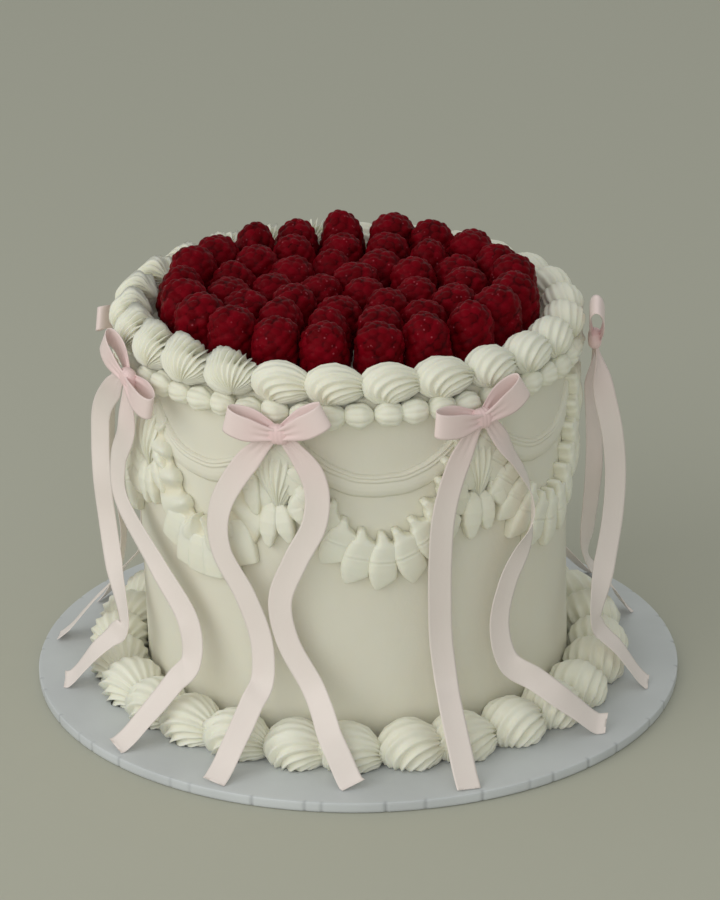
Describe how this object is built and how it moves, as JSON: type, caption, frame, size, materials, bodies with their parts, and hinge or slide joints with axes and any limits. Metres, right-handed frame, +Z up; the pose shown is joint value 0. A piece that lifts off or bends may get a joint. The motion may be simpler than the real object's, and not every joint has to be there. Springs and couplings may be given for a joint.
{
  "type": "vintage piped cake on a cake board",
  "caption": "Tall round iced cake with piped shell borders, pearls, string swags, ruffled garlands and satin bows, topped with upright raspberries, on a thin round board.",
  "frame": {"origin": "middle of the cake board's underside", "axes": "+Z up through the cake, -Y towards the picture's view of it"},
  "size_m": [0.3048, 0.3048, 0.2014],
  "materials": {
    "board": "satin",
    "icing": "matte",
    "piping": "matte",
    "satin": "satin",
    "raspberry": "satin"
  },
  "bodies": {
    "root": {"board": "board", "cake": "icing", "top_border": "piping", "base_border": "piping", "garland": "piping", "bow_1": "satin", "bow_2": "satin", "bow_3": "satin", "bow_4": "satin", "bow_5": "satin", "bow_6": "satin", "bow_7": "satin", "berry_01": "raspberry", "berry_02": "raspberry", "berry_03": "raspberry", "berry_04": "raspberry", "berry_05": "raspberry", "berry_06": "raspberry", "berry_07": "raspberry", "berry_08": "raspberry", "berry_09": "raspberry", "berry_10": "raspberry", "berry_11": "raspberry", "berry_12": "raspberry", "berry_13": "raspberry", "berry_14": "raspberry", "berry_15": "raspberry", "berry_16": "raspberry", "berry_17": "raspberry", "berry_18": "raspberry", "berry_19": "raspberry", "berry_20": "raspberry", "berry_21": "raspberry", "berry_22": "raspberry", "berry_23": "raspberry", "berry_24": "raspberry", "berry_25": "raspberry", "berry_26": "raspberry", "berry_27": "raspberry", "berry_28": "raspberry", "berry_29": "raspberry", "berry_30": "raspberry", "berry_31": "raspberry", "berry_32": "raspberry", "berry_33": "raspberry", "berry_34": "raspberry", "berry_35": "raspberry", "berry_36": "raspberry", "berry_37": "raspberry", "berry_38": "raspberry", "berry_39": "raspberry", "berry_40": "raspberry", "berry_41": "raspberry", "berry_42": "raspberry", "berry_43": "raspberry", "berry_44": "raspberry", "berry_45": "raspberry", "berry_46": "raspberry", "berry_47": "raspberry", "berry_48": "raspberry"}
  },
  "joints": []
}
